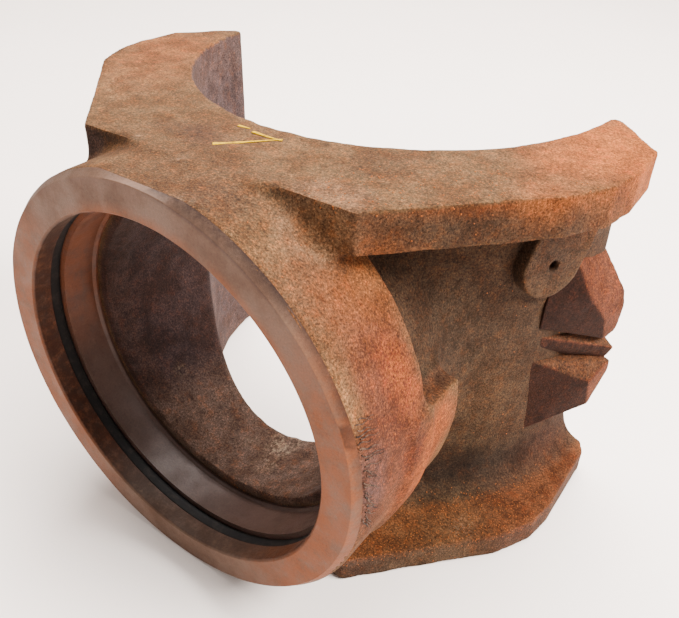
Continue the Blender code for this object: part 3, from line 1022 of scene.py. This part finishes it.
def seat_profile(ring):
    """The seat's section, with a small lip along its back."""
    outer, lip, front = 0.0900, ring.seat - 0.0012, GROOVE_BACK_Y + 0.0003
    return [(outer, front), (outer, SEAT_BACK_Y), (lip, SEAT_BACK_Y),
            (lip, SEAT_BACK_Y - 0.0012), (ring.seat, SEAT_BACK_Y - 0.0026),
            (ring.seat, SEAT_BACK_Y - 0.008), (ring.seat, GROOVE_BACK_Y + 0.006),
            (ring.seat, front)]


def shade_face(obj, ring):
    """Darken the rim and its fringe, paint shade on the socket wall, heavier on its left, and rust the
    face in patches.
    """
    a, r = polar(obj)
    rim = (r > ring.face_outer + 0.0002) * (0.35 + 0.55 * arc(a, 48, 56))
    fringe = smooth_step(0.0970, 0.0992, r) * 0.55 * arc(a, 68, 26)
    # painted shade on the socket wall, heavier on the left
    wall = (r < ring.socket + 0.0004) * (0.74 + 0.3 * arc(a, 180, 80))
    patches = 0.30 * arc(a, 312, 24) + 0.80 * arc(a, 205, 46) + 0.95 * arc(a, 355, 58)
    lip = 0.7 * smooth_step(0.0905, 0.0856, r) * arc(a, 75, 60)
    shade_ring(obj, rim + fringe + wall, 0.10 + patches + lip + 0.60 * arc(a, 160, 34))


class BuildRings(bpy.types.Operator):
    """Turn the collar's face and socket, the seal and the seat"""
    bl_idname = "coupling.build_rings"
    bl_label = "Build turned rings"

    def execute(self, context):
        ring = context.scene.coupling_rings
        tan = turned_material("turned_collar_face", (0.112, 0.067, 0.046), (0.160, 0.046, 0.013),
                              0.5, 0.5)
        face = turned_ring("collar_face", face_profile(ring), tan, ring.facets, 0.0005)
        shade_face(face, ring)
        settle(face, "machined_face", "branch_collar")
        seal = turned_ring("rubber_seal", seal_profile(ring), rubber_material(), ring.facets)
        settle(seal, "black_rubber", "seal_ring")
        brown = turned_material("turned_seat", (0.062, 0.037, 0.030), (0.150, 0.042, 0.014),
                                0.3, 0.34)
        seat = turned_ring("seat_land", seat_profile(ring), brown, ring.facets)
        angle, _ = polar(seat)
        shade_ring(seat, 0.15 + 0.25 * arc(angle, 90, 50), 0.05 + 0.55 * arc(angle, 150, 55))
        settle(seat, "machined_seat", "seat_ring")
        return {"FINISHED"}


# ---------------------------------------------------------------- strokes and scabs
def stroke_tree(mat):
    """Geometry Nodes: a stroke of uneven width along each of the mesh's edge paths."""
    tree, source = begin_tree("paint_stroke", Width=0.001, Spacing=0.0006)
    curve = add_node(tree, "GeometryNodeMeshToCurve", {0: source["Geometry"]})
    even = add_node(tree, "GeometryNodeResampleCurve",
                    {"Curve": curve[0], "Length": source["Spacing"]}, mode="LENGTH")
    place = add_node(tree, "GeometryNodeInputPosition", {})
    jitter = add_node(tree, "ShaderNodeTexNoise", {"Vector": place[0], "Scale": 320})
    size = add_node(tree, "ShaderNodeMapRange",
                    {"Value": jitter["Fac"], "To Min": 0.45, "To Max": 1.45})
    # each stroke starts broad and runs out thin
    along = add_node(tree, "GeometryNodeSplineParameter", {})
    thin = add_node(tree, "ShaderNodeMapRange",
                    {"Value": along["Factor"], "To Min": 1.45, "To Max": 0.5})
    scale = add_node(tree, "ShaderNodeMath", {0: size["Result"], 1: thin["Result"]},
                     operation="MULTIPLY")
    circle = add_node(tree, "GeometryNodeCurvePrimitiveCircle",
                      {"Resolution": 8, "Radius": source["Width"]})
    swept = add_node(tree, "GeometryNodeCurveToMesh",
                     {"Curve": even[0], "Profile Curve": circle["Curve"], "Scale": scale[0],
                      "Fill Caps": True})
    return end_tree(tree, swept[0], mat)


# the marker strokes' corners: x, y in the run pipe's frame
STROKES = (
    ((-0.0047, -0.1395), (0.0030, -0.1312), (0.0085, -0.1245), (0.0139, -0.1183)),
    ((-0.0008, -0.1198), (0.0070, -0.1200), (0.0146, -0.1197)),
    ((-0.0100, -0.1184), (-0.0043, -0.1177)),
)


class BuildStrokes(bpy.types.Operator):
    """Lay the dry yellow marker strokes on the top flange"""
    bl_idname = "coupling.build_strokes"
    bl_label = "Build marker strokes"

    def execute(self, context):
        paths = [[(x, y + RUN_Y, TOP_Z + 0.0001) for x, y in path] for path in STROKES]
        obj = path_object("marker_strokes", paths)
        apply_tree(obj, stroke_tree(paint_material()), Width=0.0008, Spacing=0.0007)
        # press the round strokes flat onto the skin
        up, down = (Matrix.Translation((0, 0, z)) for z in (TOP_Z, -TOP_Z))
        obj.data.transform(up @ Matrix.Diagonal((1, 1, 0.35, 1)) @ down)
        obj.data.shade_smooth()
        settle(obj, "cast_skin")
        return {"FINISHED"}


class BuildSawMarks(bpy.types.Operator):
    """Raise the short wavy saw marks on the right side of the collar"""
    bl_idname = "coupling.build_saw_marks"
    bl_label = "Build saw marks"

    def execute(self, context):
        rng = np.random.default_rng(8)
        marks, steps, r = 30, 8, COLLAR_R + 0.00012
        paths = []
        for i in range(marks):
            angle = math.radians(21 - 0.95 * i + rng.uniform(-0.25, 0.25))
            start_y = FACE_Y + 0.0035 + rng.uniform(0, 0.004)
            length = rng.uniform(0.005, 0.013) * (1.1 - 0.5 * i / marks)
            lean = -math.radians(rng.uniform(0.8, 2.2) + 0.16 * i)
            path = []
            for k in range(steps + 1):
                t = k / steps
                a = angle + lean * t + 0.004 * math.sin(9 * t + i)
                path.append((r * math.cos(a), start_y + length * t, MID_Z + r * math.sin(a)))
            paths.append(path)
        obj = path_object("saw_marks", paths)
        apply_tree(obj, stroke_tree(saw_material()), Width=0.00022, Spacing=0.0009)
        obj.data.shade_smooth()
        settle(obj, "rusty_skin")
        return {"FINISHED"}


def scab_tree(mat):
    """Geometry Nodes: small flattened scabs of rust strewn over a surface by its 'scab' value."""
    tree, source = begin_tree("rust_scabs", Density=90000.0, Smallest=0.00018, Largest=0.00060,
                              Seed=4)
    scab = add_node(tree, "GeometryNodeInputNamedAttribute", {"Name": "scab"}, data_type="FLOAT")
    amount = add_node(tree, "ShaderNodeMath", {0: source["Density"], 1: scab[0]},
                      operation="MULTIPLY")
    strewn = add_node(tree, "GeometryNodeDistributePointsOnFaces",
                      {"Mesh": source["Geometry"], "Density": amount[0], "Seed": source["Seed"]})
    grain = add_node(tree, "GeometryNodeMeshIcoSphere", {"Subdivisions": 1})
    size = add_node(tree, "FunctionNodeRandomValue",
                    {2: source["Smallest"], 3: source["Largest"], "Seed": source["Seed"]},
                    data_type="FLOAT")
    height = add_node(tree, "ShaderNodeMath", {0: size[1], 1: 0.55}, operation="MULTIPLY")
    flat = add_node(tree, "ShaderNodeCombineXYZ", {0: size[1], 1: size[1], 2: height[0]})
    spread = add_node(tree, "GeometryNodeInstanceOnPoints",
                      {"Points": strewn["Points"], "Instance": grain["Mesh"],
                       "Rotation": strewn["Rotation"], "Scale": flat[0]})
    return end_tree(tree, spread[0], mat)


class BuildScabs(bpy.types.Operator):
    """Strew small rust scabs along the flanges' rims and the right side of the collar"""
    bl_idname = "coupling.build_scabs"
    bl_label = "Build rust scabs"

    def execute(self, context):
        skin = context.scene.coupling_skin
        body = bpy.data.objects["cast_body"]
        obj = new_object("rust_scabs", body.data.copy())
        co = per_vertex(obj, "co").astype(float)
        x, y, z = co[:, 0], co[:, 1] - RUN_Y, co[:, 2]
        run = np.hypot(x, y)
        rim = smooth_step(0.006, 0.0015, abs(z - 0.0142)) * smooth_step(0.124, 0.134, run)
        front = smooth_step(-0.02, -0.08, y)
        upper = smooth_step(0.004, 0.001, abs(z - 0.1975)) * smooth_step(0.126, 0.136, run) * (x > 0.05)
        skin_rust = smooth_step(0.0995, 0.1015, np.hypot(x, z - MID_Z)) * (x > 0.03) * 0.006
        store(obj, "scab", np.clip(rim * front * 0.40 + upper * 0.12 + skin_rust, 0, 1))
        apply_tree(obj, scab_tree(scab_material(skin)), Density=600000.0, Smallest=0.00016,
                   Largest=0.00046, Seed=4)
        for name in ("tone", "rust", "worn", "scab"):
            layer = obj.data.attributes.get(name)
            if layer is not None:
                obj.data.attributes.remove(layer)
        obj.data.shade_smooth()
        settle(obj, "rusty_skin")
        return {"FINISHED"}


# ---------------------------------------------------------------- stage
def stage_material(name, colour, roughness, swing):
    """Plain board, mottled a little."""
    s = Shader(name)
    mottled = s.noise(3.0, 3, 0.5)
    tinted = s.mix(s.ramp(mottled, 0.3, 0.7, 0.0, swing), colour, tuple(c * 0.94 for c in colour))
    return s.finish(tinted, roughness, 0.3)


def area_light(name, place, size, power, colour):
    """A round soft light aimed at the middle of the casting."""
    lamp = bpy.data.lights.new(name, "AREA")
    lamp.shape = "DISK"
    lamp.size = size
    lamp.energy = power
    lamp.color = colour
    obj = new_object(name, lamp)
    obj.location = place
    aim = Vector((0, 0, 0.1)) - Vector(place)
    obj.rotation_euler = aim.to_track_quat("-Z", "Y").to_euler()


def place_camera():
    """The camera: its height, turn and roll are angles in radians."""
    elevation, azimuth, roll = 0.601027, 0.612069, 0.028208
    back = Vector((math.sin(azimuth) * math.cos(elevation),
                   -math.cos(azimuth) * math.cos(elevation), math.sin(elevation)))
    right = (-back).cross(Vector((0, 0, 1))).normalized()
    up = right.cross(-back)
    tilted = math.cos(roll) * right + math.sin(roll) * up
    up = -math.sin(roll) * right + math.cos(roll) * up
    data = bpy.data.cameras.new("camera")
    data.lens = 40.14
    data.sensor_width = 36
    data.sensor_fit = "HORIZONTAL"
    data.clip_start = 0.01
    obj = new_object("camera", data)
    pose = Matrix((tilted, up, back)).transposed().to_4x4()
    pose.translation = (0.20126, -0.34201 + RUN_Y, 0.31611)
    obj.matrix_world = pose
    return obj


class BuildStage(bpy.types.Operator):
    """Lay the pale floor with its curved back, set the lights and the camera"""
    bl_idname = "coupling.build_stage"
    bl_label = "Build stage"

    def execute(self, context):
        steps = 24
        rows = []
        for i in range(steps + 1):
            turn = (math.pi / 2) * i / steps
            rows.append((1.2 + 0.8 * math.sin(turn), 0.8 * (1 - math.cos(turn))))
        path = [(-2.5, 0.0), *rows, (2.0, 2.6)]
        verts, faces = [], []
        for y, z in path:
            verts += [(-3.0, y, z - 0.0004), (3.0, y, z - 0.0004)]
        for i in range(len(path) - 1):
            a = 2 * i
            faces.append((a, a + 1, a + 3, a + 2))
        floor = mesh_object("floor_sweep", verts, faces)
        floor.data.transform(Matrix.Rotation(math.radians(35), 4, "Z"))
        floor.data.materials.append(stage_material("pale_board", (0.970, 0.860, 0.800), 0.6, 0.5))
        world = bpy.data.worlds.new("soft_room")
        world.use_nodes = True
        sky = world.node_tree.nodes["Background"]
        sky.inputs["Color"].default_value = (1.0, 0.975, 0.95, 1)
        sky.inputs["Strength"].default_value = 0.66
        context.scene.world = world
        area_light("key", (1.25, 0.35, 1.25), 0.9, 108, (1.0, 0.97, 0.93))
        area_light("fill", (-0.7, -1.3, 1.1), 1.4, 3, (1.0, 0.98, 0.96))
        area_light("back", (-0.25, 0.55, 1.7), 1.6, 125, (1.0, 0.97, 0.94))
        context.scene.camera = place_camera()
        return {"FINISHED"}


# ---------------------------------------------------------------- panel and registration
class CouplingPanel(bpy.types.Panel):
    """Lists the coupling's pieces and their settings"""
    bl_idname = "VIEW3D_PT_coupling"
    bl_label = "Branch coupling"
    bl_space_type = "VIEW_3D"
    bl_region_type = "UI"
    bl_category = "Coupling"

    def draw(self, context):
        scene = context.scene
        for group in (scene.coupling_casting, scene.coupling_skin, scene.coupling_rings):
            for name in group.__annotations__:
                self.layout.prop(group, name)
        for step in STEPS:
            self.layout.operator(step.bl_idname)


STEPS = (BuildCasting, BuildNoses, BuildRings, BuildStrokes, BuildSawMarks, BuildScabs, BuildStage)
CLASSES = (CastingSettings, SkinSettings, RingSettings, *STEPS, CouplingPanel)


def register():
    for cls in CLASSES:
        bpy.utils.register_class(cls)
    bpy.types.Scene.coupling_casting = PointerProperty(type=CastingSettings)
    bpy.types.Scene.coupling_skin = PointerProperty(type=SkinSettings)
    bpy.types.Scene.coupling_rings = PointerProperty(type=RingSettings)


def unregister():
    del bpy.types.Scene.coupling_rings
    del bpy.types.Scene.coupling_skin
    del bpy.types.Scene.coupling_casting
    for cls in reversed(CLASSES):
        bpy.utils.unregister_class(cls)


def main():
    register()
    bpy.ops.coupling.build_casting()
    bpy.ops.coupling.build_noses()
    bpy.ops.coupling.build_rings()
    bpy.ops.coupling.build_strokes()
    bpy.ops.coupling.build_saw_marks()
    bpy.ops.coupling.build_scabs()
    bpy.ops.coupling.build_stage()


if __name__ == "__main__":
    main()
